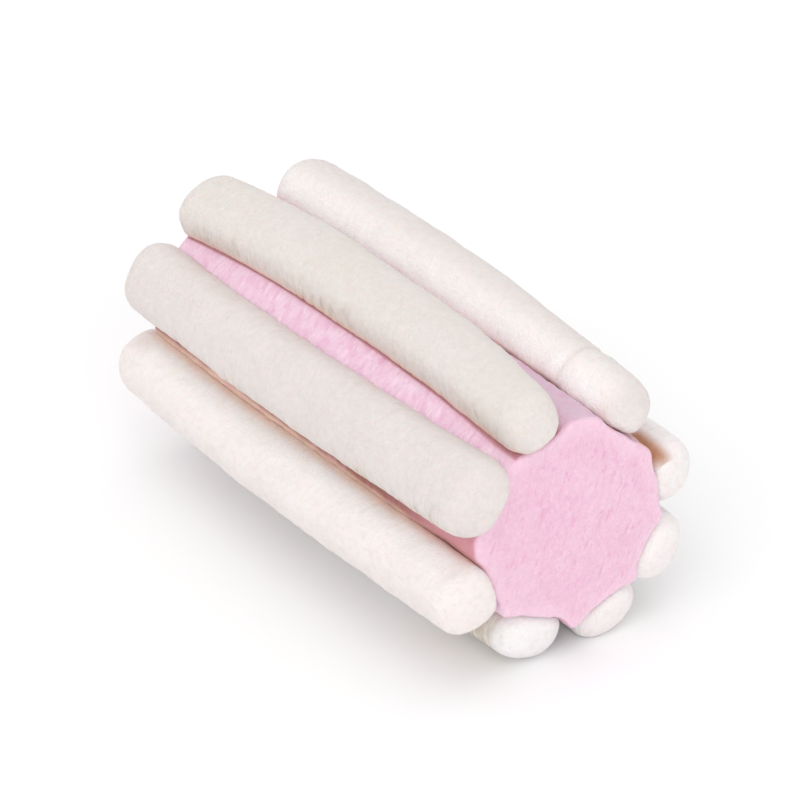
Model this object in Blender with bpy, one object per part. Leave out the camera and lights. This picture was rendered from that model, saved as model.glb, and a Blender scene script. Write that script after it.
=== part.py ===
"""Extruded marshmallow stick: a pink eight-sided core with eight white
ropes laid lengthwise around it, both ends cut off nearly square.

The core is a soft bar with one flat for every rope.  Each rope is a flat
based, domed strand that wanders a little along its length and ends in a
cut, rounded tip.  The stick lies on its side on two squashed ropes.

Lengths in millimetres until the points are written, then metres.
+X runs along the stick, +Z is up.
"""
import math

import bpy
import bmesh

MM = 0.001

# ---- whole stick -----------------------------------------------------
AXIS_HEIGHT = 13.85        # stick axis above the surface it lies on
TOUCH_GAP = 0.30           # clearance left between pieces that touch

# ---- core ------------------------------------------------------------
CORE_BACK = -25.9          # cut face at the -X end
CORE_FRONT = 26.3          # cut face at the +X end
CORE_LIMIT_R = 11.1        # no ridge between two flats is sharper than this
RIDGE_SHARPNESS = 40.0     # higher is a crisper ridge between two flats
CORE_EDGE = 0.6            # rounding of the rim of each cut face
CORE_DOME = 0.35           # how far the cut faces swell in the middle
CUT_SLANT = 5.2            # degrees, the +X cut is not quite square
CUT_TOWARDS = 125.0        # and faces a little this way, from +Y towards +Z
SECTOR_SIDES = 8           # facets from one rope to the next
CORE_EDGE_RINGS = 3
CORE_MID_RINGS = 9
CORE_FACE_RINGS = 2

# between rope i and the next one: core radius, half width of the swell
# (mm) and how square its shoulders are
SWELL = ((10.7, 1.15, 2), (10.95, 2.4, 4), (11.45, 3.2, 4), (11.15, 2.2, 4),
         (10.9, 1.15, 2), (11.25, 1.15, 2), (11.05, 1.2, 2), (10.8, 1.2, 2))
# each swell sinks towards the front cut: by how much, from x to x
SINKS = ((0.0, 20.0, 25.0), (0.0, 20.0, 25.0), (0.65, 22.0, 26.0), (0.50, 14.0, 22.0),
         (0.0, 20.0, 25.0), (0.0, 20.0, 25.0), (0.0, 20.0, 25.0), (0.0, 20.0, 25.0))
FLARE = (0.50, 0.0, 0.0, 0.0, 0.0, 0.05, 0.10, 0.20)   # rim of the front cut
TRIM = (0.30, 0.0, 0.0, 0.0, 0.55, 0.05, 0.0, 0.15)    # ridges end lower at the front cut

# ---- ropes -----------------------------------------------------------
BASE_SQUARENESS = 2.8      # section exponent on the side of the core
DOME_SQUARENESS = 2.3      # section exponent on the outside
WAIST = 0.45               # height of the widest point, part of the whole
TIP_SQUARENESS = 2.6       # exponent of the tip rounding
TIP_SINK = 0.9             # tips draw in towards the core by this much
ROPE_SIDES = 20
ROPE_TIP_RINGS = 5
ROPE_MID_RINGS = 10

# angle: degrees from +Y towards +Z at five stations, back to front
# half_width: half the width at the same stations
# seat: distance from the stick axis to the flat of the core under it
# top: distance from the stick axis to its outer skin, three stations
# ends: x of the back tip and of the front tip
# tips: length of the rounding at the back and at the front
ROPES = {
    "rope_1_right": dict(angle=(5.2, 4.4, 2.2, 1.4, 2.2),
                         half_width=(3.42, 3.56, 3.50, 3.30, 3.15),
                         seat=9.75, top=(15.15, 15.25, 15.10),
                         ends=(-26.90, 26.55), tips=(2.60, 2.50)),
    "rope_2_upper_right": dict(angle=(58.5, 55.8, 52.4, 49.6, 48.0),
                               half_width=(3.88, 3.68, 3.50, 3.30, 3.05),
                               seat=9.80, top=(15.70, 15.95, 14.45),
                               ends=(-25.10, 25.75), tips=(2.67, 2.50)),
    "rope_3_top": dict(angle=(109.0, 101.2, 99.5, 99.9, 105.2),
                       half_width=(3.59, 3.78, 3.69, 3.60, 3.00),
                       seat=9.80, top=(15.05, 15.18, 14.95),
                       ends=(-27.35, 26.05), tips=(2.45, 3.10)),
    "rope_4_upper_left": dict(angle=(150.6, 151.4, 150.8, 148.3, 145.1),
                              half_width=(3.66, 3.64, 3.80, 3.88, 4.00),
                              seat=9.75, top=(15.25, 15.32, 15.45),
                              ends=(-27.80, 27.20), tips=(2.55, 3.40)),
    "rope_5_left": dict(angle=(195.3, 199.1, 197.4, 196.2, 195.5),
                        half_width=(3.30, 3.48, 3.48, 3.46, 3.36),
                        seat=9.65, top=(15.60, 16.15, 15.70),
                        ends=(-27.70, 27.45), tips=(2.30, 2.40)),
    "rope_6_lower_left": dict(angle=(249.5, 247.0, 245.6, 246.4, 248.0),
                              half_width=(3.60, 3.72, 3.86, 3.84, 3.80),
                              seat=9.35, top=(14.85, 14.85, 14.40),
                              ends=(-26.70, 26.50), tips=(2.40, 2.50)),
    "rope_7_lower_right": dict(angle=(289.0, 290.4, 291.4, 291.0, 289.9),
                               half_width=(3.66, 3.70, 3.62, 3.58, 3.60),
                               seat=10.00, top=(14.65, 14.65, 14.85),
                               ends=(-27.10, 27.20), tips=(2.50, 2.50)),
    "rope_8_right_low": dict(angle=(328.4, 327.4, 326.4, 325.8, 325.3),
                             half_width=(3.46, 3.50, 3.44, 3.46, 3.52),
                             seat=9.75, top=(15.18, 15.24, 15.20),
                             ends=(-26.60, 27.45), tips=(2.60, 2.60)),
}

PINK = (0.89, 0.49, 0.66, 1.0)
WHITE = (0.87, 0.83, 0.79, 1.0)


def along(values, s):
    """Smooth curve through evenly spaced stations, s from 0 to 1."""
    n = len(values) - 1
    p = min(max(s, 0.0), 1.0) * n
    i = min(int(p), n - 1)
    t = p - i
    y0, y1 = values[i], values[i + 1]
    m0 = (y1 - y0) if i == 0 else (y1 - values[i - 1]) / 2.0
    m1 = (y1 - y0) if i == n - 1 else (values[i + 2] - y0) / 2.0
    t2, t3 = t * t, t * t * t
    return ((2 * t3 - 3 * t2 + 1) * y0 + (t3 - 2 * t2 + t) * m0
            + (3 * t2 - 2 * t3) * y1 + (t3 - t2) * m1)


def share(rope, x):
    back, front = rope["ends"]
    return (x - back) / (front - back)


def smooth(e0, e1, v):
    t = min(max((v - e0) / (e1 - e0), 0.0), 1.0)
    return t * t * (3.0 - 2.0 * t)


def core_radius(phi, x):
    """Radius of the core at angle phi (degrees), station x: flat under
    each rope, swelling out between them."""
    ropes = list(ROPES.values())
    angles = [along(rope["angle"], share(rope, x)) for rope in ropes]
    total = CORE_LIMIT_R ** -RIDGE_SHARPNESS
    for rope, angle in zip(ropes, angles):
        c = math.cos(math.radians(phi - angle))
        if c > 0.5:
            total += (c / rope["seat"]) ** RIDGE_SHARPNESS
    flats = total ** (-1.0 / RIDGE_SHARPNESS)
    radius = flats
    for i, (level, wide, square) in enumerate(SWELL):
        following = angles[i + 1] if i < 7 else angles[0] + 360.0
        off = (phi - (angles[i] + following) / 2.0 + 180.0) % 360.0 - 180.0
        amount, since, until = SINKS[i]
        window = (math.exp(-abs(math.radians(off) * 11.0 / wide) ** square)
                  * (1.0 - amount * smooth(since, until, x)))
        radius += window * max(level - flats, 0.0)
        radius -= (TRIM[i] * math.exp(-abs(math.radians(off) * 11.0 / 2.0) ** 2)
                   * smooth(22.0, 26.0, x))
        near = (phi - angles[i] + 180.0) % 360.0 - 180.0
        radius += FLARE[i] * math.exp(-(near / 14.0) ** 2) * smooth(24.4, 26.1, x)
    return radius


def cut_lean(x, r, phi):
    """Shift along the stick that slants the +X cut."""
    t = min(max((x - 8.0) / 17.0, 0.0), 1.0)
    lean = math.tan(math.radians(CUT_SLANT)) * t * t * (3.0 - 2.0 * t)
    return -lean * r * math.cos(math.radians(phi - CUT_TOWARDS))


def sector_angles(x):
    """Angles round the core, evenly spaced from each rope to the next."""
    mids = [along(r["angle"], share(r, x)) for r in ROPES.values()]
    out = []
    for a, b in zip(mids, mids[1:] + [mids[0] + 360.0]):
        out += [a + (b - a) * k / SECTOR_SIDES for k in range(SECTOR_SIDES)]
    return out


def signed_power(v, e):
    return math.copysign(abs(v) ** e, v)


def tip_scale(d):
    return (1.0 - min(d, 1.0) ** TIP_SQUARENESS) ** (1.0 / TIP_SQUARENESS)


def rope_stations(rope):
    """Ring stations and their scale; the tips round off like a cut end."""
    back, front = rope["ends"]
    tip_b, tip_f = rope["tips"]
    steps = [math.cos(0.5 * math.pi * k / ROPE_TIP_RINGS)
             for k in range(1, ROPE_TIP_RINGS + 1)]
    out = [(back + tip_b * (1.0 - d), tip_scale(d)) for d in steps]
    first, last = back + tip_b, front - tip_f
    for k in range(1, ROPE_MID_RINGS + 1):
        out.append((first + (last - first) * k / (ROPE_MID_RINGS + 1), 1.0))
    out += [(front - tip_f * (1.0 - d), tip_scale(d)) for d in reversed(steps)]
    return out


def rope_point(rope, x, scale, k):
    s = share(rope, x)
    phi = math.radians(along(rope["angle"], s))
    base = rope["seat"] + TOUCH_GAP
    height = along(rope["top"], s) - base
    waist = base + WAIST * height
    a = 2.0 * math.pi * (k + 0.5) / ROPE_SIDES
    if math.sin(a) > 0.0:
        power, deep = 2.0 / DOME_SQUARENESS, (1.0 - WAIST) * height
    else:
        power, deep = 2.0 / BASE_SQUARENESS, WAIST * height
    p = along(rope["half_width"], s) * scale * signed_power(math.cos(a), power)
    q = (waist - TIP_SINK * (1.0 - scale)
         + deep * scale * signed_power(math.sin(a), power))
    y = q * math.cos(phi) - p * math.sin(phi)
    z = q * math.sin(phi) + p * math.cos(phi)
    # stay clear of the core
    r = math.hypot(y, z)
    if CORE_BACK - TOUCH_GAP < x < CORE_FRONT + 1.0 + TOUCH_GAP:
        floor = core_radius(math.degrees(math.atan2(z, y)), x) + TOUCH_GAP
        if r < floor:
            y, z = y * floor / r, z * floor / r
    # squashed where the stick lies on the surface
    return (x, y, max(z + AXIS_HEIGHT, 0.0))


def rope_rings(rope):
    rings = [[rope_point(rope, x, scale, k) for k in range(ROPE_SIDES)]
             for x, scale in rope_stations(rope)]
    poles = []
    for x, s in zip(rope["ends"], (0.0, 1.0)):
        phi = math.radians(along(rope["angle"], s))
        base = rope["seat"] + TOUCH_GAP
        q = base + WAIST * (along(rope["top"], s) - base) - TIP_SINK
        poles.append((x, q * math.cos(phi), q * math.sin(phi) + AXIS_HEIGHT))
    return rings, poles


def core_rings():
    """Profile of (x, inset from the full section, scale) swept round."""
    profile = []
    faces = [k / (CORE_FACE_RINGS + 1) for k in range(1, CORE_FACE_RINGS + 1)]
    turns = [0.5 * math.pi * k / CORE_EDGE_RINGS for k in range(CORE_EDGE_RINGS + 1)]
    for f in faces:
        profile.append((CORE_BACK - CORE_DOME * (1.0 - f * f), CORE_EDGE, f))
    for a in turns:
        profile.append((CORE_BACK + CORE_EDGE * (1.0 - math.cos(a)),
                        CORE_EDGE * (1.0 - math.sin(a)), 1.0))
    first, last = CORE_BACK + CORE_EDGE, CORE_FRONT - CORE_EDGE
    for k in range(1, CORE_MID_RINGS + 1):
        profile.append((first + (last - first) * k / (CORE_MID_RINGS + 1), 0.0, 1.0))
    for a in reversed(turns):
        profile.append((CORE_FRONT - CORE_EDGE * (1.0 - math.cos(a)),
                        CORE_EDGE * (1.0 - math.sin(a)), 1.0))
    for f in reversed(faces):
        profile.append((CORE_FRONT + CORE_DOME * (1.0 - f * f), CORE_EDGE, f))
    rings = []
    for x, inset, scale in profile:
        xr = min(max(x, CORE_BACK), CORE_FRONT)
        ring = []
        for phi in sector_angles(xr):
            r = (core_radius(phi, xr) - inset) * scale
            a = math.radians(phi)
            ring.append((x + cut_lean(x, r, phi), r * math.cos(a),
                         r * math.sin(a) + AXIS_HEIGHT))
        rings.append(ring)
    poles = [(CORE_BACK - CORE_DOME, 0.0, AXIS_HEIGHT),
             (CORE_FRONT + CORE_DOME, 0.0, AXIS_HEIGHT)]
    return rings, poles


def material(name, colour, roughness):
    mat = bpy.data.materials.new(name)
    mat.use_nodes = True
    shader = mat.node_tree.nodes["Principled BSDF"]
    shader.inputs["Base Color"].default_value = colour
    shader.inputs["Roughness"].default_value = roughness
    mat.diffuse_color = colour
    return mat


def solid(name, rings, poles, shift, colour, roughness):
    """Close a stack of rings with a pole at each end."""
    bm = bmesh.new()

    def vert(p):
        return bm.verts.new(((p[0] - shift[0]) * MM, (p[1] - shift[1]) * MM, p[2] * MM))

    grid = [[vert(p) for p in ring] for ring in rings]
    back, front = vert(poles[0]), vert(poles[1])
    n = len(grid[0])
    for a, b in zip(grid, grid[1:]):
        for k in range(n):
            bm.faces.new((a[k], a[(k + 1) % n], b[(k + 1) % n], b[k]))
    for k in range(n):
        bm.faces.new((back, grid[0][(k + 1) % n], grid[0][k]))
        bm.faces.new((front, grid[-1][k], grid[-1][(k + 1) % n]))
    bmesh.ops.recalc_face_normals(bm, faces=bm.faces)
    mesh = bpy.data.meshes.new(name)
    bm.to_mesh(mesh)
    bm.free()
    obj = bpy.data.objects.new(name, mesh)
    mesh.materials.append(material(name, colour, roughness))
    bpy.context.scene.collection.objects.link(obj)
    return obj


def main():
    for obj in list(bpy.data.objects):
        bpy.data.objects.remove(obj, do_unlink=True)
    pieces = [("core", core_rings(), PINK, 0.75)]
    for name, rope in ROPES.items():
        pieces.append((name, rope_rings(rope), WHITE, 0.70))
    # centre the whole stick over the origin
    points = [p for _, (rings, poles), _, _ in pieces
              for p in [q for ring in rings for q in ring] + list(poles)]
    shift = [(min(p[i] for p in points) + max(p[i] for p in points)) / 2.0
             for i in (0, 1)]
    for name, (rings, poles), colour, roughness in pieces:
        solid(name, rings, poles, shift, colour, roughness)


main()
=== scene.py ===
import math

import bpy
import numpy as np
from mathutils import Matrix, Vector


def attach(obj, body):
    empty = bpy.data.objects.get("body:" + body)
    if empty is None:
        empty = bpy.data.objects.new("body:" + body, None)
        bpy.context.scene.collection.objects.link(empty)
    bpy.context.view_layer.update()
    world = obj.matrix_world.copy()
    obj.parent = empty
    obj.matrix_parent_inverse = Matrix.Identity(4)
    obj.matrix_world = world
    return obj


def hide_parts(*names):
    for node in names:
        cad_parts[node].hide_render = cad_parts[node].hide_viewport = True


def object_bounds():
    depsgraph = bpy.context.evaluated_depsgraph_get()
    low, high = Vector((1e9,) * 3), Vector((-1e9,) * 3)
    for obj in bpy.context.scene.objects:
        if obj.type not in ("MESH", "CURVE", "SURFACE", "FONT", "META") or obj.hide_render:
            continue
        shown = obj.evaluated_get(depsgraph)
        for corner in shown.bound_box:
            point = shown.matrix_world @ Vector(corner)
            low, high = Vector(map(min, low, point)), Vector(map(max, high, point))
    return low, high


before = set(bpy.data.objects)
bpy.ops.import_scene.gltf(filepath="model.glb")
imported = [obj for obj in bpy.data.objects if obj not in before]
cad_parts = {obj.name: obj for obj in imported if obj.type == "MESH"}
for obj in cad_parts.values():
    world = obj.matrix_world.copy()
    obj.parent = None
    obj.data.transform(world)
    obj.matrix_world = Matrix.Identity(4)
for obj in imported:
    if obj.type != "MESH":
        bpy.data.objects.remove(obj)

cad_low, cad_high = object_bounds()

# ======================================================================
#  Extruded marshmallow stick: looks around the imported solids.
#  Lengths in millimetres until the points are written, then metres.
#  +X runs along the stick, +Z is up, angles go from +Y towards +Z.
# ======================================================================
MM = 0.001

# ---- the same named sizes as the solids ------------------------------
CORE_BACK, CORE_FRONT = -25.9, 26.3
CORE_LIMIT_R = 11.1
RIDGE_SHARPNESS = 40.0
CORE_EDGE = 0.6
CORE_DOME = 0.35
CUT_SLANT = 5.2             # degrees, the front cut faces a little up and left
CUT_TOWARDS = 125.0
BASE_SQUARENESS = 2.8
DOME_SQUARENESS = 2.3
WAIST = 0.45
TIP_SQUARENESS = 2.6
TIP_SINK = 0.9

ROPES = {
    "rope_1_right": dict(angle=(5.2, 4.4, 2.2, 1.4, 2.2),
                         half_width=(3.42, 3.56, 3.50, 3.30, 3.15),
                         seat=9.75, top=(15.15, 15.25, 15.10),
                         ends=(-26.90, 26.55), tips=(2.60, 2.50)),
    "rope_2_upper_right": dict(angle=(58.5, 55.8, 52.4, 49.6, 48.0),
                               half_width=(3.88, 3.68, 3.50, 3.30, 3.05),
                               seat=9.80, top=(15.70, 15.95, 14.45),
                               ends=(-25.10, 25.75), tips=(2.67, 2.50)),
    "rope_3_top": dict(angle=(109.0, 101.2, 99.5, 99.9, 105.2),
                       half_width=(3.59, 3.78, 3.69, 3.60, 3.00),
                       seat=9.80, top=(15.05, 15.18, 14.95),
                       ends=(-27.35, 26.05), tips=(2.45, 3.10)),
    "rope_4_upper_left": dict(angle=(150.6, 151.4, 150.8, 148.3, 145.1),
                              half_width=(3.66, 3.64, 3.80, 3.88, 4.00),
                              seat=9.75, top=(15.25, 15.32, 15.45),
                              ends=(-27.80, 27.20), tips=(2.55, 3.40)),
    "rope_5_left": dict(angle=(195.3, 199.1, 197.4, 196.2, 195.5),
                        half_width=(3.30, 3.48, 3.48, 3.46, 3.36),
                        seat=9.65, top=(15.60, 16.15, 15.70),
                        ends=(-27.70, 27.45), tips=(2.30, 2.40)),
    "rope_6_lower_left": dict(angle=(249.5, 247.0, 245.6, 246.4, 248.0),
                              half_width=(3.60, 3.72, 3.86, 3.84, 3.80),
                              seat=9.35, top=(14.85, 14.85, 14.40),
                              ends=(-26.70, 26.50), tips=(2.40, 2.50)),
    "rope_7_lower_right": dict(angle=(289.0, 290.4, 291.4, 291.0, 289.9),
                               half_width=(3.66, 3.70, 3.62, 3.58, 3.60),
                               seat=10.00, top=(14.65, 14.65, 14.85),
                               ends=(-27.10, 27.20), tips=(2.50, 2.50)),
    "rope_8_right_low": dict(angle=(328.4, 327.4, 326.4, 325.8, 325.3),
                             half_width=(3.46, 3.50, 3.44, 3.46, 3.52),
                             seat=9.75, top=(15.18, 15.24, 15.20),
                             ends=(-26.60, 27.45), tips=(2.60, 2.60)),
}

# ---- how finely the pieces are drawn ---------------------------------
ROPE_RINGS = 340           # along the straight part of a rope
ROPE_TIP_RINGS = 26        # over each rounded tip
ROPE_SIDES = 112
CORE_RINGS = 228
CORE_RIM_RINGS = 10
CORE_FACE_RINGS = 60
SECTOR_SIDES = 32

# between strand i and the next one: core radius, half width of the swell
# (mm) and how square its shoulders are
SWELL = ((10.7, 1.15, 2), (10.95, 2.4, 4), (11.45, 3.2, 4), (11.15, 2.2, 4),
         (10.9, 1.15, 2), (11.25, 1.15, 2), (11.05, 1.2, 2), (10.8, 1.2, 2))
# each swell sinks towards the front cut: by how much, from x to x
SINKS = ((0.0, 20.0, 25.0), (0.0, 20.0, 25.0), (0.65, 22.0, 26.0), (0.50, 14.0, 22.0),
         (0.0, 20.0, 25.0), (0.0, 20.0, 25.0), (0.0, 20.0, 25.0), (0.0, 20.0, 25.0))
FLARE = (0.50, 0.0, 0.0, 0.0, 0.0, 0.05, 0.10, 0.20)   # rim of the front cut
TRIM = (0.30, 0.0, 0.0, 0.0, 0.55, 0.05, 0.0, 0.15)    # ridges end lower at the front cut
# painted contact shadow where a strand meets the core, and a painted warm glow of light bounced from the core beside
# it, on the strand's side of smaller angle and of larger angle
CONTACT_SHADOW = ((0.4, 0.6), (0.6, 0.5), (1.0, 0.75), (0.0, 0.5), (0.0, 0.5), (0.3, 0.3), (0.3, 0.3), (0.3, 0.4))
PAINTED_GLOW = ((0.2, 0.7), (0.2, 0.25), (0.25, 0.7), (0.1, 0.5), (0.62, 0.3), (0.3, 0.2), (0.1, 0.1), (0.1, 0.1))
# how wrinkled each strand's two flanks are, which also sets the painted shade in their wrinkles, and how much higher up
# than usual
WRINKLES_AND_SHADE = ((0.2, 0.3), (0.1, 0.12), (0.4, 0.9), (0.3, 1.4), (0.15, 0.7), (0.4, 0.4), (0.3, 0.3), (0.3, 0.3))
HIGHER = (0.0, 0.0, 0.0, 0.22, 0.0, 0.0, 0.0, 0.0)

SINK_IN = 0.18             # ropes are stuck on, so they reach into the core

# ======================================================================
#  Where the stick's axis is: the middle of the core's back face
# ======================================================================
_core = np.array([v.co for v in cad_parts["core"].data.vertices], float)
_tail = _core[_core[:, 0].argmin()] / MM
AXIS_Y, AXIS_Z = float(_tail[1]), float(_tail[2])

# ======================================================================
#  Noise
# ======================================================================


def _hash(ix, iy, iz, seed):
    h = (ix.astype(np.uint32) * np.uint32(374761393)
         + iy.astype(np.uint32) * np.uint32(668265263)
         + iz.astype(np.uint32) * np.uint32(2246822519)
         + np.uint32(seed) * np.uint32(3266489917))
    h = (h ^ (h >> np.uint32(15))) * np.uint32(2246822519)
    h = (h ^ (h >> np.uint32(13))) * np.uint32(3266489917)
    return h ^ (h >> np.uint32(16))


def noise(x, y, z, seed=0):
    """Gradient noise, about -1 to 1, one lattice cell per unit."""
    x, y, z = np.broadcast_arrays(x, y, z)
    fx, fy, fz = np.floor(x), np.floor(y), np.floor(z)
    ix, iy, iz = (v.astype(np.int64) for v in (fx, fy, fz))
    x, y, z = x - fx, y - fy, z - fz
    u, v, w = (t * t * t * (t * (t * 6 - 15) + 10) for t in (x, y, z))
    out = 0.0
    with np.errstate(over="ignore"):
        for dx in (0, 1):
            for dy in (0, 1):
                for dz in (0, 1):
                    h = _hash(ix + dx, iy + dy, iz + dz, seed)
                    gx = (h & np.uint32(1023)).astype(float) / 511.5 - 1.0
                    gy = ((h >> np.uint32(10)) & np.uint32(1023)).astype(float) / 511.5 - 1.0
                    gz = ((h >> np.uint32(20)) & np.uint32(1023)).astype(float) / 511.5 - 1.0
                    d = gx * (x - dx) + gy * (y - dy) + gz * (z - dz)
                    out = out + d * (u if dx else 1 - u) * (v if dy else 1 - v) * (w if dz else 1 - w)
    return out * 1.25


def fbm(x, y, z, seed=0, octaves=3, gain=0.5):
    total, size, f = 0.0, 1.0, 1.0
    for k in range(octaves):
        total = total + size * noise(x * f, y * f, z * f, seed + 31 * k)
        size, f = size * gain, f * 2.03
    return total


def smooth(e0, e1, v):
    t = np.clip((v - e0) / (e1 - e0), 0.0, 1.0)
    return t * t * (3 - 2 * t)


# ======================================================================
#  Shapes
# ======================================================================


def along(values, s):
    """Smooth curve through evenly spaced stations, s from 0 to 1."""
    v = np.asarray(values, float)
    n = len(v) - 1
    m = np.empty(n + 1)
    m[0], m[-1] = v[1] - v[0], v[-1] - v[-2]
    m[1:-1] = (v[2:] - v[:-2]) / 2.0
    p = np.clip(np.asarray(s, float), 0.0, 1.0) * n
    i = np.minimum(p.astype(int), n - 1)
    t = p - i
    t2, t3 = t * t, t * t * t
    return ((2 * t3 - 3 * t2 + 1) * v[i] + (t3 - 2 * t2 + t) * m[i]
            + (3 * t2 - 2 * t3) * v[i + 1] + (t3 - t2) * m[i + 1])


def share(rope, x):
    back, front = rope["ends"]
    return (x - back) / (front - back)


def core_radius(phi, x):
    """Radius of the core at angles phi (degrees), stations x: flat under
    each strand, swelling out between them."""
    flats = CORE_LIMIT_R ** -RIDGE_SHARPNESS + 0.0 * phi
    ropes = list(ROPES.values())
    angles = [along(rope["angle"], share(rope, x)) for rope in ropes]
    for rope, angle in zip(ropes, angles):
        c = np.cos(np.radians(phi - angle))
        flats = flats + np.where(c > 0.5, np.maximum(c, 0.5) / rope["seat"], 0.0) ** RIDGE_SHARPNESS
    flats = flats ** (-1.0 / RIDGE_SHARPNESS)
    radius = flats
    for i, (level, wide, square) in enumerate(SWELL):
        following = angles[i + 1] if i < 7 else angles[0] + 360.0
        off = np.radians((phi - 0.5 * (angles[i] + following) + 180.0) % 360.0 - 180.0)
        amount, since, until = SINKS[i]
        window = np.exp(-np.abs(off * 11.0 / wide) ** square) * (1.0 - amount * smooth(since, until, x))
        radius = radius + window * np.maximum(level - flats, 0.0)
        radius = radius - TRIM[i] * np.exp(-np.abs(off * 11.0 / 2.0) ** 2) * smooth(22.0, 26.0, x)
        near = (phi - angles[i] + 180.0) % 360.0 - 180.0
        radius = radius + FLARE[i] * np.exp(-(near / 14.0) ** 2) * smooth(24.4, 26.1, x)
    return radius


def power(v, e):
    return np.sign(v) * np.abs(v) ** e


def section(sides):
    """Flat based, domed section: (across, up from the waist) in units of
    half width and of the whole height, points evenly spaced round it,
    starting in the middle of the base."""
    a = np.linspace(-0.5 * math.pi, 1.5 * math.pi, 6001)
    e = np.where(np.sin(a) > 0, 2.0 / DOME_SQUARENESS, 2.0 / BASE_SQUARENESS)
    up = np.where(np.sin(a) > 0, 1.0 - WAIST, WAIST)
    p, q = power(np.cos(a), e), up * power(np.sin(a), e)
    step = np.hypot(np.diff(p) * 3.6, np.diff(q) * 5.3)
    run = np.concatenate([[0.0], np.cumsum(step)])
    at = np.linspace(0.0, run[-1], sides + 1)[:-1]
    return np.interp(at, run, p), np.interp(at, run, q), at - run[-1] / 2.0


def tip_scale(d):
    return (1.0 - np.minimum(d, 1.0) ** TIP_SQUARENESS) ** (1.0 / TIP_SQUARENESS)


def normals(grid):
    """Unit normals of a grid closed in its second direction."""
    du = np.gradient(grid, axis=0)
    wrapped = np.concatenate([grid[:, -1:], grid, grid[:, :1]], axis=1)
    dv = (wrapped[:, 2:] - wrapped[:, :-2]) / 2.0
    n = np.cross(du, dv)
    n /= np.linalg.norm(n, axis=-1, keepdims=True) + 1e-12
    out = grid - grid.mean(axis=1, keepdims=True)
    if (n * out)[len(grid) // 2].sum() < 0:
        n = -n
    return n


def mesh_piece(name, grid, poles, extras):
    """A closed mesh from rings of points and a pole at each end.
    extras: point attributes as (rings, sides) arrays and two pole values."""
    rings, sides = grid.shape[:2]
    pts = np.concatenate([grid.reshape(-1, 3), np.asarray(poles, float)])
    pts = pts + np.array([0.0, AXIS_Y, AXIS_Z])
    pts[:, 2] = np.maximum(pts[:, 2], 0.0)
    k = np.arange(sides)
    k1 = (k + 1) % sides
    quads = []
    for r in range(rings - 1):
        a, b = r * sides, (r + 1) * sides
        quads.append(np.stack([a + k, b + k, b + k1, a + k1], axis=1))
    quads = np.concatenate(quads)
    back, front = rings * sides, rings * sides + 1
    last = (rings - 1) * sides
    tris = np.concatenate([np.stack([np.full(sides, back), k, k1], axis=1),
                           np.stack([np.full(sides, front), last + k1, last + k], axis=1)])
    mesh = bpy.data.meshes.new(name)
    mesh.vertices.add(len(pts))
    mesh.vertices.foreach_set("co", (pts * MM).astype(np.float32).ravel())
    loops = np.concatenate([quads.ravel(), tris.ravel()]).astype(np.int32)
    mesh.loops.add(len(loops))
    mesh.loops.foreach_set("vertex_index", loops)
    starts = np.concatenate([np.arange(len(quads)) * 4, len(quads) * 4 + np.arange(len(tris)) * 3])
    mesh.polygons.add(len(starts))
    mesh.polygons.foreach_set("loop_start", starts.astype(np.int32))
    mesh.update(calc_edges=True)
    mesh.validate()
    mesh.polygons.foreach_set("use_smooth", np.ones(len(mesh.polygons), bool))
    for key, (values, pole_values) in extras.items():
        attribute = mesh.attributes.new(key, "FLOAT", "POINT")
        data = np.concatenate([values.ravel(), np.asarray(pole_values, float)])
        attribute.data.foreach_set("value", data.astype(np.float32))
    # outward normals
    v = np.empty(3 * len(pts), np.float32)
    mesh.vertices.foreach_get("co", v)
    v = v.reshape(-1, 3).astype(float)
    t = v[quads[:, [0, 1, 2]]]
    volume = np.einsum("ij,ij->i", t[:, 0], np.cross(t[:, 1], t[:, 2])).sum()
    if volume < 0:
        mesh.flip_normals()
    obj = bpy.data.objects.new(name, mesh)
    bpy.context.scene.collection.objects.link(obj)
    return obj


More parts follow.
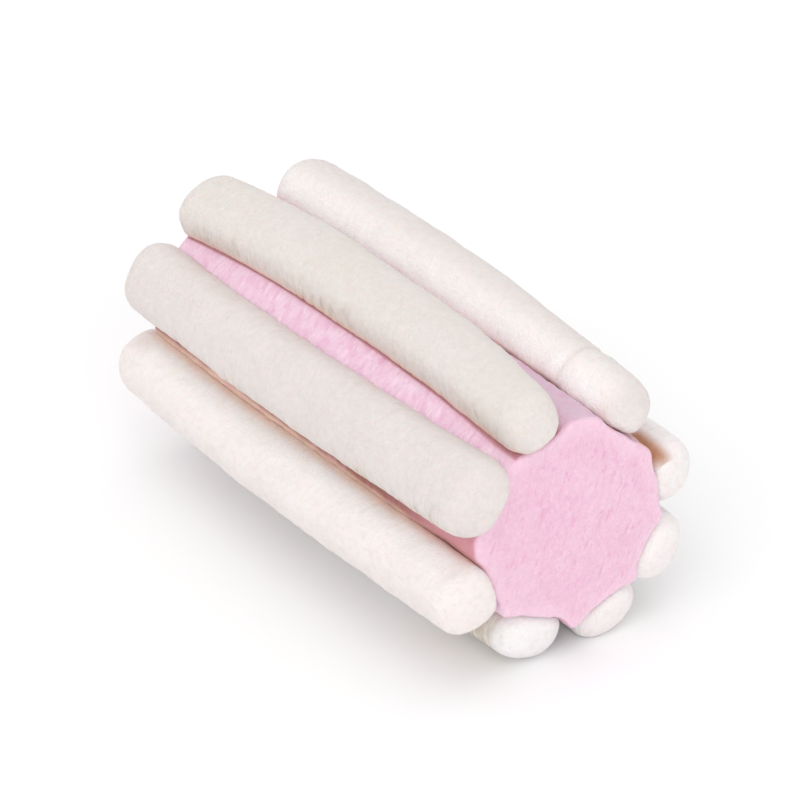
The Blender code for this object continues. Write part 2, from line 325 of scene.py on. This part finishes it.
def rope_piece(name, node, number):
    rope = ROPES[node]
    seed = 100 * number
    back, front = rope["ends"]
    tip_b, tip_f = rope["tips"]
    turn = 0.5 * math.pi * np.arange(1, ROPE_TIP_RINGS + 1) / ROPE_TIP_RINGS
    d = np.clip(np.cos(turn), 0.0, 1.0)
    first, last = back + tip_b, front - tip_f
    mid = first + (last - first) * np.arange(1, ROPE_RINGS + 1) / (ROPE_RINGS + 1)
    x = np.concatenate([back + tip_b * (1 - d), mid, (front - tip_f * (1 - d))[::-1]])
    scale = np.concatenate([tip_scale(d), np.ones(ROPE_RINGS), tip_scale(d)[::-1]])
    p, q, girth = section(ROPE_SIDES)

    # slow unevenness of the strand as it was squeezed out
    s = share(rope, x)
    zero = np.zeros_like(x)
    phi = np.radians(along(rope["angle"], s) + 0.45 * noise(x / 9.0, zero, zero, seed + 1))
    wide = along(rope["half_width"], s) * (1 + 0.022 * fbm(x / 6.5, zero, zero, seed + 2, 2))
    base = rope["seat"] - SINK_IN
    top = along(rope["top"], s) + 0.10 * fbm(x / 7.0, zero, zero, seed + 3, 2)
    height = top - base
    waist = base + WAIST * height

    P = (wide * scale)[:, None] * p[None]
    Q = (waist - TIP_SINK * (1 - scale))[:, None] + (height * scale)[:, None] * q[None]
    X = np.repeat(x[:, None], ROPE_SIDES, axis=1)
    cf, sf = np.cos(phi)[:, None], np.sin(phi)[:, None]
    grid = np.stack([X, Q * cf - P * sf, Q * sf + P * cf], axis=-1)
    n = normals(grid)

    # relief
    S = np.repeat(girth[None], len(x), axis=0)          # mm round the skin
    up = (Q - base) / height[:, None]                   # 0 base, 1 crest
    higher = HIGHER[number - 1]
    side = smooth(0.86 + higher, 0.35 + higher, up)     # flanks
    body = smooth(0.90, 1.0, scale)[:, None]            # not over the tips
    gx, gy, gz = grid[..., 0], grid[..., 1], grid[..., 2]
    lumps = (0.085 * fbm(gx / 4.2, gy / 4.2, gz / 4.2, seed + 4, 3)
             + 0.055 * noise(gx / 1.6, gy / 1.8, gz / 1.8, seed + 12))
    warp = 0.9 * noise(gx / 3.0, gy / 3.0, gz / 3.0, seed + 5)
    slant = 0.35 * (number % 3 - 1)
    wr = noise(gx / 0.50 + warp + slant * S, S / 2.2, zero[:, None] + number, seed + 6)
    wr2 = noise(gx / 0.95 + 0.6 * warp - slant * S, S / 3.0, zero[:, None] + number, seed + 7)
    patch = smooth(-0.25, 0.45, noise(gx / 5.5, gy / 4.0, gz / 4.0, seed + 8))
    wrinkle = -(0.075 * smooth(0.0, 0.75, wr) + 0.085 * smooth(0.0, 0.8, wr2))
    flank = smooth(-0.8, 0.8, P)
    flank = WRINKLES_AND_SHADE[number - 1][0] * (1 - flank) + WRINKLES_AND_SHADE[number - 1][1] * flank
    wrinkle = wrinkle * (0.35 + 0.65 * body) * (0.24 + 1.05 * flank * side * (0.45 + 0.65 * patch))
    pebble = 0.040 * noise(gx / 0.62, gy / 0.75, gz / 0.75, seed + 11)
    suede = 0.022 * noise(gx / 0.33, gy / 0.45, gz / 0.45, seed + 9) + pebble
    move = lumps + wrinkle + suede
    # how deep the relief dips, for the painted shade in the pits
    pits = smooth(-0.01, 0.12, -(wrinkle + suede))
    if node == "rope_2_upper_right":
        # the front end is bent out, with a fold behind it
        fold = 17.9 + 0.5 * noise(S / 2.6, zero[:, None], zero[:, None], seed + 10)
        move = move + 0.20 * smooth(0.0, 2.2, X - fold) * smooth(26.2, 23.0, X)
        crease = np.exp(-((X - fold) / 0.34) ** 2) * smooth(0.05, 0.3, up)
        move = move - 0.24 * crease
        # the fold's crease gets painted shade too
        pits = np.maximum(pits, 0.7 * crease)
    grid = grid + n * move[..., None]

    poles = []
    for end, k in ((0, 0), (1, -1)):
        f = math.radians(along(rope["angle"], float(end)))
        r = waist[k] - TIP_SINK
        poles.append((rope["ends"][end], r * math.cos(f), r * math.sin(f)))
    # how far into the rounded tip, for the painted light that makes the tips paler
    tip = 1.0 - smooth(0.0, 1.0, (1 - scale) / 0.9)[:, None] + 0.0 * P
    here = np.degrees(np.arctan2(gz, gy))
    depth = np.hypot(gy, gz) - core_radius(here, X)
    depth = np.where((X > CORE_FRONT) | (X < CORE_BACK), 6.0, np.clip(depth, -1.0, 6.0))
    # the two sides of a strand blend over its crest
    turned = smooth(-0.5, 0.5, P)
    cut = smooth(25.7, 24.7, X) * smooth(-25.85, -25.3, X)
    inner = smooth(25.6, 22.6, X) * smooth(-25.4, -22.4, X)
    # painted contact shadow and painted bounce glow of the two sides, faded at the strand's ends
    contact_shadow = (CONTACT_SHADOW[number - 1][0] * (1 - turned) + CONTACT_SHADOW[number - 1][1] * turned) * cut
    painted_glow = (PAINTED_GLOW[number - 1][0] * (1 - turned) + PAINTED_GLOW[number - 1][1] * turned) * cut
    # where the wrinkles get painted shade: low on the flanks, in patches, less towards the ends
    wrinkle_shade = WRINKLES_AND_SHADE[number - 1][0] * (1 - turned) + WRINKLES_AND_SHADE[number - 1][1] * turned
    wrinkle_shade = wrinkle_shade * smooth(0.84 + higher, 0.44 + higher, up) * (0.35 + 0.65 * patch)
    wrinkle_shade = wrinkle_shade * (0.25 + 0.75 * inner)
    # painted olive shade: near the core on wrinkled flanks, higher up the flank on strand 4, and on strand 6's flank
    # under strand 5's tip
    olive_shade = smooth(2.4, 0.2, depth)
    if higher:
        olive_shade = np.maximum(olive_shade, smooth(0.66 + higher, 0.36 + higher, up) * smooth(-0.5, 0.5, P))
    olive_shade = olive_shade * wrinkle_shade * inner
    if number == 6:
        olive_shade = np.maximum(olive_shade, 1.2 * smooth(1.6, -1.0, P) * smooth(25.6, 23.0, X) * smooth(10.0, 18.0, X))
    # painted light: marks the flank of strand 5 facing strand 4 and of strand 2 facing strand 3, which lie in shade, to
    # be painted paler
    painted_fill = (smooth(0.6, -1.0, P) if number == 5 else 0.0 * P) + (smooth(-0.6, 1.0, P) if number == 2 else 0.0)
    # painted brown shade on strand 1's flank facing strand 2, near the front, in the recess under strand 2's end
    tan = smooth(1.1, 2.7, P) * smooth(18.2, 22.8, X) * (1.0 if number == 1 else 0.0)
    extras = {
        "depth": (depth, (6.0, 6.0)),
        "contact_shadow": (contact_shadow, (0.0, 0.0)),
        "painted_glow": (painted_glow, (0.0, 0.0)),
        "tip": (1.0 - tip, (1.0, 1.0)),
        "pits": (pits, (0.0, 0.0)),
        "tan": (tan, (0.0, 0.0)),
        "wrinkle_shade": (wrinkle_shade, (0.0, 0.0)),
        "painted_fill": (painted_fill * inner, (0.0, 0.0)),
        "olive_shade": (olive_shade, (0.0, 0.0)),
    }
    return mesh_piece(name, grid, poles, extras)


def core_piece(name):
    f = np.linspace(0.0, 1.0, CORE_FACE_RINGS + 1)[1:-1]
    turn = 0.5 * math.pi * np.linspace(0.0, 1.0, CORE_RIM_RINGS + 1)
    first, last = CORE_BACK + CORE_EDGE, CORE_FRONT - CORE_EDGE
    mid = first + (last - first) * np.arange(1, CORE_RINGS + 1) / (CORE_RINGS + 1)
    x = np.concatenate([CORE_BACK - CORE_DOME * (1 - f * f),
                        CORE_BACK + CORE_EDGE * (1 - np.cos(turn)), mid,
                        (CORE_FRONT - CORE_EDGE * (1 - np.cos(turn)))[::-1],
                        (CORE_FRONT + CORE_DOME * (1 - f * f))[::-1]])
    rim = CORE_EDGE * (1 - np.sin(turn))
    inset = np.concatenate([np.full(len(f), CORE_EDGE), rim, np.zeros(CORE_RINGS),
                            rim[::-1], np.full(len(f), CORE_EDGE)])
    scale = np.concatenate([f, np.ones(len(rim)), np.ones(CORE_RINGS),
                            np.ones(len(rim)), f[::-1]])
    xr = np.clip(x, CORE_BACK, CORE_FRONT)
    # angles crowd towards the ridges, which are what shows
    t = np.arange(SECTOR_SIDES) / SECTOR_SIDES
    t = t + 0.55 * np.sin(2 * math.pi * t) / (2 * math.pi)
    mids = [along(r["angle"], share(r, xr)) for r in ROPES.values()]
    phi = np.concatenate([a[:, None] + (b - a)[:, None] * t[None]
                          for a, b in zip(mids, mids[1:] + [mids[0] + 360.0])], axis=1)
    X = np.repeat(x[:, None], phi.shape[1], axis=1)
    R = (core_radius(phi, np.repeat(xr[:, None], phi.shape[1], axis=1)) - inset[:, None]) * scale[:, None]
    a = np.radians(phi)
    # how far each point of the side is from the nearest strand
    near, contact_shadow = 3.0 + 0.0 * R, 0.0 * R
    for i, rope in enumerate(ROPES.values()):
        s = share(rope, np.clip(x, rope["ends"][0], rope["ends"][1]))
        off = np.radians((phi - along(rope["angle"], s)[:, None] + 180.0) % 360.0 - 180.0)
        base = rope["seat"] - SINK_IN
        tall = WAIST * (along(rope["top"], s) - base)[:, None]
        u = np.clip((base + tall - R * np.cos(off)) / tall, 0.0, 1.0)
        wide = along(rope["half_width"], s)[:, None] * (1 - u ** BASE_SQUARENESS) ** (1 / BASE_SQUARENESS)
        away = np.where(np.cos(off) > 0.3, np.abs(R * np.sin(off)) - wide, 3.0)
        past = np.maximum(x - rope["ends"][1], rope["ends"][0] - x)[:, None] + 0.5
        away = np.maximum(away, past)
        closer = away < near
        near = np.where(closer, away, near)
        # strength of the nearest strand's painted contact shadow
        contact_shadow = np.where(closer, np.where(off > 0, CONTACT_SHADOW[i][1], CONTACT_SHADOW[i][0]), contact_shadow)
    near = near / (1.0 + 0.9 * smooth(16.0, 24.0, x))[:, None]
    near = np.clip(near, -1.0, 3.0)
    # painted brown shade on the core's side in the recess between strands 1 and 2, near the front
    tan = np.exp(-((phi - 22.0) / 11.0) ** 2) * smooth(17.5, 24.5, x)[:, None]
    middle = 0.5 * (along(ROPES["rope_4_upper_left"]["angle"], 0.5) + along(ROPES["rope_5_left"]["angle"], 0.5))
    # painted shade on the core between strands 2 and 3 near the front, where strand 3 shades it
    wedge = 0.5 * (along(ROPES["rope_2_upper_right"]["angle"], 0.9) + along(ROPES["rope_3_top"]["angle"], 0.9))
    wedge = np.exp(-((phi - wedge) / 17.0) ** 4) * smooth(6.0, 18.0, x)[:, None]
    # painted shade in the groove between strands 4 and 5, turning to a painted peach glow of bounced light towards
    # strand 5
    shade = np.exp(-((phi - middle) / 17.0) ** 4) + 0.0 * R
    peach = smooth(1.2, 6.2, phi - middle + 1.2 * noise(X / 2.0, phi / 9.0, X * 0, 911))
    front = smooth(13.0, 22.0, x)[:, None] + 0.0 * R
    ragged = smooth(4.0, 0.5, np.minimum(xr - CORE_BACK, CORE_FRONT - xr))[:, None]
    R = R * (1.0 + 0.010 * ragged * noise(phi / 7.0, X * 0, X * 0 + np.sign(x)[:, None], 909))
    lean_x = math.tan(math.radians(CUT_SLANT)) * smooth(8.0, 25.0, X)
    X = X - lean_x * R * np.cos(np.radians(phi - CUT_TOWARDS))
    grid = np.stack([X, R * np.cos(a), R * np.sin(a)], axis=-1)
    n = normals(grid)
    face = (1.0 - smooth(0.0, 0.9 * CORE_EDGE, np.minimum(xr - CORE_BACK, CORE_FRONT - xr)))[:, None] + 0.0 * R
    rim = smooth(0.84, 1.0, scale)[:, None] * face
    flat = (scale < 1.0)[:, None] & (R < 100)
    n[flat] = np.sign(x[:, None] + 0.0 * R)[flat][:, None] * np.array([1.0, 0.0, 0.0])
    gx, gy, gz = grid[..., 0], grid[..., 1], grid[..., 2]

    # side: fine wrinkles across the stick; faces: torn fibres of foam
    warp = 0.8 * noise(gx / 2.5, gy / 2.5, gz / 2.5, 901)
    wr = noise(gx / 0.55 + warp + 0.5 * gy, gy / 1.3, gz / 1.3, 902)
    wr2 = noise(gx / 1.05 - warp + 0.4 * gy, gy / 1.9, gz / 1.9, 903)
    side = -(0.080 * smooth(-0.2, 0.8, wr) + 0.110 * smooth(-0.1, 0.8, wr2))
    lumps = 0.07 * fbm(gx / 4.0, gy / 4.0, gz / 4.0, 904, 3)
    lean = math.radians(66.0)
    g = gy * math.cos(lean) + gz * math.sin(lean)       # along the fibres
    h = -gy * math.sin(lean) + gz * math.cos(lean)      # across them
    warp = 0.5 * noise(h / 2.4, g / 2.4, X * 0, 905)
    fibre = noise(h / 0.42 + warp, g / 1.5, X * 0 + np.sign(x)[:, None] * 3.3, 906)
    fibre2 = noise(h / 0.85 - warp, g / 2.4, X * 0 + np.sign(x)[:, None] * 5.1, 907)
    faces = -(0.060 * smooth(0.05, 0.7, fibre) + 0.10 * smooth(0.1, 0.8, fibre2))
    # how deep the relief dips, for the painted shade in its hollows
    pits = smooth(0.01, 0.12, -side) * (1 - face) + smooth(0.02, 0.15, -faces) * face
    faces = faces + 0.10 * fbm(gy / 4.5, gz / 4.5, X * 0 + np.sign(x)[:, None], 908, 2)
    move = side * (1 - face) + lumps * (1 - face) + faces * face
    fade = smooth(0.02, 0.12, scale)[:, None]
    grid = grid + n * (move * fade)[..., None]
    poles = [(CORE_BACK - CORE_DOME, 0.0, 0.0), (CORE_FRONT + CORE_DOME, 0.0, 0.0)]
    return mesh_piece(name, grid, poles, {
        "face": (face, (1.0, 1.0)), "pits": (pits * fade, (0.0, 0.0)),
        "near": (near, (3.0, 3.0)), "contact_shadow": (contact_shadow, (0.0, 0.0)), "tan": (tan, (0.0, 0.0)),
        "shade": (shade, (0.0, 0.0)), "peach": (peach, (0.0, 0.0)), "wedge": (wedge, (0.0, 0.0)),
        "front": (front, (0.0, 0.0)), "rim": (rim, (0.0, 0.0))})


# ======================================================================
#  Materials
# ======================================================================


def srgb(r, g, b):
    def lin(c):
        c /= 255.0
        return c / 12.92 if c <= 0.04045 else ((c + 0.055) / 1.055) ** 2.4
    return (lin(r), lin(g), lin(b), 1.0)


class Tree:
    """Short hand for building a node tree."""

    def __init__(self, name):
        self.mat = bpy.data.materials.new(name)
        self.mat.use_nodes = True
        self.nt = self.mat.node_tree
        self.nt.nodes.clear()
        self.out = self.add("ShaderNodeOutputMaterial")
        self.bsdf = self.add("ShaderNodeBsdfPrincipled")
        self.nt.links.new(self.bsdf.outputs[0], self.out.inputs["Surface"])
        coord = self.add("ShaderNodeTexCoord")
        scale = self.add("ShaderNodeVectorMath", operation="SCALE")
        self.link(coord.outputs["Object"], scale.inputs[0])
        scale.inputs["Scale"].default_value = 1000.0
        self.mm = scale.outputs[0]          # the piece's own millimetres

    def add(self, kind, **props):
        node = self.nt.nodes.new(kind)
        for k, v in props.items():
            setattr(node, k, v)
        return node

    def link(self, a, b):
        self.nt.links.new(a, b)

    def stretch(self, vector, scale=(1, 1, 1), turn=(0, 0, 0)):
        m = self.add("ShaderNodeMapping", vector_type="TEXTURE" if turn != (0, 0, 0) else "POINT")
        self.link(vector, m.inputs["Vector"])
        if turn != (0, 0, 0):
            m.inputs["Rotation"].default_value = turn
            m2 = self.add("ShaderNodeMapping", vector_type="POINT")
            self.link(m.outputs[0], m2.inputs["Vector"])
            m2.inputs["Scale"].default_value = scale
            return m2.outputs[0]
        m.inputs["Scale"].default_value = scale
        return m.outputs[0]

    def noise(self, vector, scale, detail=2.0, rough=0.5, distort=0.0):
        n = self.add("ShaderNodeTexNoise")
        self.link(vector, n.inputs["Vector"])
        n.inputs["Scale"].default_value = scale
        n.inputs["Detail"].default_value = detail
        n.inputs["Roughness"].default_value = rough
        n.inputs["Distortion"].default_value = distort
        return n.outputs["Fac"]

    def attr(self, name):
        a = self.add("ShaderNodeAttribute")
        a.attribute_name = name
        return a.outputs["Fac"]

    def remap(self, value, a, b, c=0.0, d=1.0, kind="SMOOTHSTEP"):
        m = self.add("ShaderNodeMapRange", interpolation_type=kind)
        self.link(value, m.inputs["Value"])
        for key, v in (("From Min", a), ("From Max", b), ("To Min", c), ("To Max", d)):
            m.inputs[key].default_value = v
        return m.outputs["Result"]

    def math(self, op, a, b=None):
        m = self.add("ShaderNodeMath", operation=op)
        for i, v in enumerate((a, b)):
            if v is None:
                continue
            if isinstance(v, (int, float)):
                m.inputs[i].default_value = v
            else:
                self.link(v, m.inputs[i])
        return m.outputs[0]

    def mix(self, factor, a, b):
        m = self.add("ShaderNodeMix", data_type="RGBA")
        if isinstance(factor, (int, float)):
            m.inputs[0].default_value = factor
        else:
            self.link(factor, m.inputs[0])
        for i, v in ((6, a), (7, b)):
            if isinstance(v, tuple):
                m.inputs[i].default_value = v
            else:
                self.link(v, m.inputs[i])
        return m.outputs[2]

    def bump(self, height, distance, strength=1.0, under=None):
        b = self.add("ShaderNodeBump")
        b.inputs["Strength"].default_value = strength
        b.inputs["Distance"].default_value = distance
        self.link(height, b.inputs["Height"])
        if under is not None:
            self.link(under, b.inputs["Normal"])
        return b.outputs[0]

    def finish(self, colour, roughness, normal, soft, radius, reach, specular):
        s = self.bsdf.inputs
        self.link(colour, s["Base Color"])
        self.link(roughness, s["Roughness"])
        self.link(normal, s["Normal"])
        s["Subsurface Weight"].default_value = soft
        s["Subsurface Radius"].default_value = radius
        s["Subsurface Scale"].default_value = reach
        s["Specular IOR Level"].default_value = specular
        return self.mat


def white_mallow(name, tone_a, tone_b, seed):
    t = Tree(name)
    shift = t.add("ShaderNodeVectorMath", operation="ADD")
    t.link(t.mm, shift.inputs[0])
    shift.inputs[1].default_value = (seed * 7.3, seed * 3.1, seed * 5.7)
    v = shift.outputs[0]
    cloud = t.remap(t.noise(v, 0.16, 3.0, 0.55), 0.36, 0.64)
    colour = t.mix(cloud, tone_a, tone_b)
    # painted light: the rounded tips are painted paler, as if lit from the front
    colour = t.mix(t.math("MULTIPLY", t.attr("tip"), 0.25), colour, srgb(248, 241, 240))
    # soft mottling of the foam skin
    mottle = t.noise(v, 1.5, 2.0, 0.55)
    colour = t.mix(t.math("MULTIPLY", t.remap(mottle, 0.50, 0.68), 0.20), colour, srgb(217, 206, 198))
    colour = t.mix(t.math("MULTIPLY", t.remap(mottle, 0.50, 0.34), 0.08), colour, srgb(250, 242, 240))
    # painted light: the shaded flanks of strand 5 under strand 4 and of strand 2 beside strand 3 are painted paler,
    # more towards the core
    colour = t.mix(t.math("MULTIPLY", t.remap(t.attr("depth"), 5.5, 1.5), t.math("MULTIPLY", t.attr("painted_fill"), 0.90)),
                   colour, srgb(254, 249, 248))
    # skin: fine suede across the strand over a fine grain
    across = t.noise(t.stretch(v, (2.6, 0.60, 0.60)), 1.0, 3.0, 0.6, 0.4)
    grain = t.noise(v, 3.4, 3.0, 0.65)
    pores = t.noise(v, 8.0, 2.0, 0.6)
    # pits hold a little shade, more of it low on the flanks
    depth = t.attr("depth")
    wrinkle_shade = t.attr("wrinkle_shade")
    low = t.math("ADD", t.math("MULTIPLY", wrinkle_shade, 0.75), 0.14)
    colour = t.mix(t.math("MULTIPLY", t.attr("pits"), low), colour, srgb(192, 177, 160))
    # painted shade in the wrinkle dashes across the strand
    colour = t.mix(t.math("MULTIPLY", t.remap(across, 0.50, 0.66), t.math("MULTIPLY", wrinkle_shade, 0.60)),
                   colour, srgb(194, 181, 163))
    # painted olive shade, broken by the wrinkle dashes
    olive_shade = t.math("MULTIPLY", t.attr("olive_shade"), t.remap(across, 0.36, 0.60, 0.20, 0.75))
    colour = t.mix(olive_shade, colour, srgb(206, 194, 174))
    # painted warm glow of light bounced from the core beside it, and the painted contact shadow where the strand meets
    # the core
    uneven = t.remap(t.noise(v, 0.7, 2.0), 0.3, 0.7, 0.7, 1.0)
    # painted warm glow of light bounced from the pink core, strongest right beside it
    warm = t.math("MULTIPLY", t.remap(depth, 1.25, 0.1), t.math("MULTIPLY", t.attr("painted_glow"), uneven))
    colour = t.mix(t.math("MULTIPLY", warm, 0.8), colour, srgb(250, 207, 180))
    # painted contact shadow: dark red-brown right where the strand meets the core
    joint_shadow = t.math("MULTIPLY", t.remap(depth, 0.36, 0.05), t.attr("contact_shadow"))
    colour = t.mix(t.math("MULTIPLY", joint_shadow, 0.90), colour, srgb(186, 118, 102))
    # painted brown shade in the recess between strands 1 and 2
    recess = t.math("MULTIPLY", t.remap(depth, 2.7, 1.1), t.attr("tan"))
    colour = t.mix(t.math("MULTIPLY", recess, 0.90), colour, srgb(184, 126, 88))
    h1 = t.math("MULTIPLY", across, 0.6)
    h2 = t.math("ADD", h1, t.math("MULTIPLY", grain, 0.6))
    h3 = t.math("ADD", h2, t.math("MULTIPLY", pores, 0.25))
    normal = t.bump(h3, 0.00024, 1.0)
    rough = t.remap(grain, 0.3, 0.7, 0.74, 0.94, "LINEAR")
    return t.finish(colour, rough, normal, 0.40, (1.0, 0.62, 0.50), 0.0008, 0.15)


def pink_mallow(name):
    t = Tree(name)
    v = t.mm
    face = t.attr("face")
    cloud = t.remap(t.noise(v, 0.22, 3.0, 0.55), 0.35, 0.65)
    side = t.mix(cloud, srgb(238, 208, 224), srgb(236, 202, 220))
    cut = t.mix(cloud, srgb(237, 199, 217), srgb(235, 193, 213))
    # fibres of the cut face lean a little off upright
    lean = t.stretch(v, (1.0, 2.4, 0.75), (math.radians(-24.0), 0.0, 0.0))
    fibre = t.noise(lean, 1.0, 3.0, 0.6, 0.5)
    fine = t.noise(lean, 2.3, 2.0, 0.6, 0.3)
    grain = t.noise(v, 3.6, 3.0, 0.65)
    dash = t.remap(fibre, 0.54, 0.70)
    cut = t.mix(t.math("MULTIPLY", dash, 0.60), cut, srgb(225, 162, 197))
    cut = t.mix(t.math("MULTIPLY", t.remap(grain, 0.52, 0.66), 0.18), cut, srgb(228, 166, 197))
    cut = t.mix(t.math("MULTIPLY", t.remap(t.noise(v, 1.8, 2.0), 0.52, 0.34), 0.25), cut, srgb(249, 214, 231))
    cut = t.mix(t.math("MULTIPLY", t.attr("rim"), 0.40), cut, srgb(244, 214, 228))
    across = t.noise(t.stretch(v, (1.9, 0.75, 0.75)), 1.0, 3.0, 0.6, 0.9)
    side = t.mix(t.math("MULTIPLY", t.remap(across, 0.48, 0.66), 0.40), side, srgb(230, 172, 206))
    side = t.mix(t.math("MULTIPLY", t.remap(across, 0.48, 0.34), 0.35), side, srgb(254, 229, 243))
    side = t.mix(t.math("MULTIPLY", t.remap(grain, 0.50, 0.34), 0.25), side, srgb(253, 228, 243))
    near, contact_shadow = t.attr("near"), t.attr("contact_shadow")
    # painted shade in the wedge between strands 2 and 3
    side = t.mix(t.math("MULTIPLY", t.attr("wedge"), 0.92), side, srgb(212, 184, 200))
    # painted shade in the groove between strands 4 and 5: dark brown at the back, dusty rose towards the front, with a
    # painted peach glow towards strand 5
    crevice_shade = t.mix(t.attr("front"), srgb(150, 92, 74), srgb(212, 146, 152))
    peach = t.mix(t.attr("front"), srgb(240, 206, 184), srgb(214, 150, 146))
    crevice_shade = t.mix(t.attr("peach"), crevice_shade, peach)
    side = t.mix(t.math("MULTIPLY", t.attr("shade"), 0.90), side, crevice_shade)
    # painted shade on the core beside each strand, and the painted contact shadow right at its edge
    side = t.mix(t.math("MULTIPLY", t.remap(near, 1.0, 0.0), t.math("MULTIPLY", contact_shadow, 0.30)), side, srgb(214, 150, 168))
    side = t.mix(t.math("MULTIPLY", t.remap(near, 0.36, 0.06), t.math("MULTIPLY", contact_shadow, 0.90)), side, srgb(172, 98, 94))
    # painted brown shade in the recess between strands 1 and 2
    side = t.mix(t.math("MULTIPLY", t.attr("tan"), 0.80), side, srgb(208, 162, 130))
    colour = t.mix(face, side, cut)
    # painted shade in the hollows of the wrinkles and fibres
    colour = t.mix(t.math("MULTIPLY", t.attr("pits"), 0.28), colour, srgb(224, 156, 194))
    h_face = t.math("ADD", t.math("MULTIPLY", fibre, -0.8), t.math("MULTIPLY", fine, -0.2))
    h_side = t.math("MULTIPLY", across, -0.9)
    pick = t.add("ShaderNodeMix", data_type="FLOAT")
    t.link(face, pick.inputs[0])
    t.link(h_side, pick.inputs[2])
    t.link(h_face, pick.inputs[3])
    height = t.math("ADD", pick.outputs[0], t.math("MULTIPLY", grain, 0.6))
    normal = t.bump(height, 0.00020, 1.0)
    rough = t.remap(grain, 0.3, 0.7, 0.76, 0.95, "LINEAR")
    return t.finish(colour, rough, normal, 0.40, (1.0, 0.60, 0.70), 0.0009, 0.14)


# ======================================================================
#  Build the pieces
# ======================================================================
# each strand's off-white is partly its own tone and partly painted light: the upward strands 2, 3 and 4 are painted
# darker and strands 1, 6, 7 and 8 lighter, for how brightly each is lit
TONES = {   # each strand is its own shade of off-white
    "rope_1_right": (srgb(244, 238, 240), srgb(242, 236, 236)),
    "rope_2_upper_right": (srgb(229, 222, 219), srgb(227, 219, 216)),
    "rope_3_top": (srgb(224, 217, 211), srgb(225, 218, 214)),
    "rope_4_upper_left": (srgb(224, 216, 213), srgb(226, 218, 216)),
    "rope_5_left": (srgb(240, 232, 230), srgb(237, 229, 226)),
    "rope_6_lower_left": (srgb(245, 243, 243), srgb(244, 241, 242)),
    "rope_7_lower_right": (srgb(243, 237, 237), srgb(241, 235, 235)),
    "rope_8_right_low": (srgb(243, 237, 237), srgb(241, 235, 235)),
}

core = core_piece("core_mallow")
core.data.materials.append(pink_mallow("pink_mallow"))
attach(core, "root")
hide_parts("core")

for number, node in enumerate(ROPES, 1):
    piece = rope_piece("strand_%d" % number, node, number)
    piece.data.materials.append(white_mallow("white_mallow_%d" % number, *TONES[node], number))
    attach(piece, "root")
    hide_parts(node)

# ======================================================================
#  Floor, light, camera
# ======================================================================
scene = bpy.context.scene
scene.view_settings.view_transform = "Standard"
scene.view_settings.look = "None"
scene.view_settings.exposure = 0.0
scene.view_settings.gamma = 1.0

half = 4.0
floor_mesh = bpy.data.meshes.new("floor")
floor_mesh.from_pydata([(-half, -half, 0), (half, -half, 0), (half, half, 0), (-half, half, 0)], [], [(0, 1, 2, 3)])
floor = bpy.data.objects.new("floor", floor_mesh)
scene.collection.objects.link(floor)
floor.location.z = -0.00002
paper = Tree("paper")
paper_tone = paper.mix(paper.noise(paper.mm, 0.01, 2.0), (0.92, 0.92, 0.92, 1.0), (0.93, 0.93, 0.93, 1.0))
paper.link(paper_tone, paper.bsdf.inputs["Base Color"])
paper.bsdf.inputs["Roughness"].default_value = 0.9
paper.bsdf.inputs["Specular IOR Level"].default_value = 0.1
floor.data.materials.append(paper.mat)

world = bpy.data.worlds.new("studio")
scene.world = world
world.use_nodes = True
sky = world.node_tree.nodes["Background"]
sky.inputs["Color"].default_value = (1.0, 1.0, 1.0, 1.0)
sky.inputs["Strength"].default_value = 0.80


def softbox(name, at, size, power, colour=(1.0, 1.0, 1.0)):
    light = bpy.data.lights.new(name, "AREA")
    light.shape = "SQUARE"
    light.size = size
    light.energy = power
    light.color = colour
    obj = bpy.data.objects.new(name, light)
    scene.collection.objects.link(obj)
    obj.location = Vector(at)
    aim = Vector((0.0, 0.0, 0.014)) - obj.location
    obj.rotation_mode = "QUATERNION"
    obj.rotation_quaternion = aim.to_track_quat("-Z", "Y")
    return obj


softbox("softbox_front", (0.95, -0.35, 0.55), 0.8, 2.85)
softbox("softbox_left", (0.10, -0.80, 1.20), 1.5, 6.1)
softbox("softbox_top", (-0.05, 0.35, 1.30), 1.0, 1.8)

# the camera stands where it stood in the studio and is turned, by the
# smallest turn, to put the stick in the middle of the picture
AZIMUTH, ELEVATION = math.radians(50.77), math.radians(32.37)
DISTANCE = 508.5
ASIDE, ABOVE = 26.26, 12.82
back = Vector((math.sin(AZIMUTH) * math.cos(ELEVATION),
               -math.cos(AZIMUTH) * math.cos(ELEVATION), math.sin(ELEVATION)))
right = Vector((math.cos(AZIMUTH), math.sin(AZIMUTH), 0.0))
above = back.cross(right)
place = back * DISTANCE + right * ASIDE + above * ABOVE + Vector((1.61, AXIS_Y, AXIS_Z))
target = (cad_low + cad_high) / 2.0 / MM
turn = (-back).rotation_difference((target - place).normalized())
basis = Matrix((right, above, back)).transposed()
cam = bpy.data.cameras.new("camera")
cam.sensor_width = 36.0
cam.lens = 36.0 * 5330.0 / 800.0
cam.clip_start, cam.clip_end = 0.02, 50.0
camera = bpy.data.objects.new("camera", cam)
scene.collection.objects.link(camera)
camera.rotation_mode = "QUATERNION"
camera.rotation_quaternion = (turn.to_matrix() @ basis).to_quaternion()
camera.location = place * MM
scene.camera = camera

# ======================================================================
bpy.context.view_layer.update()
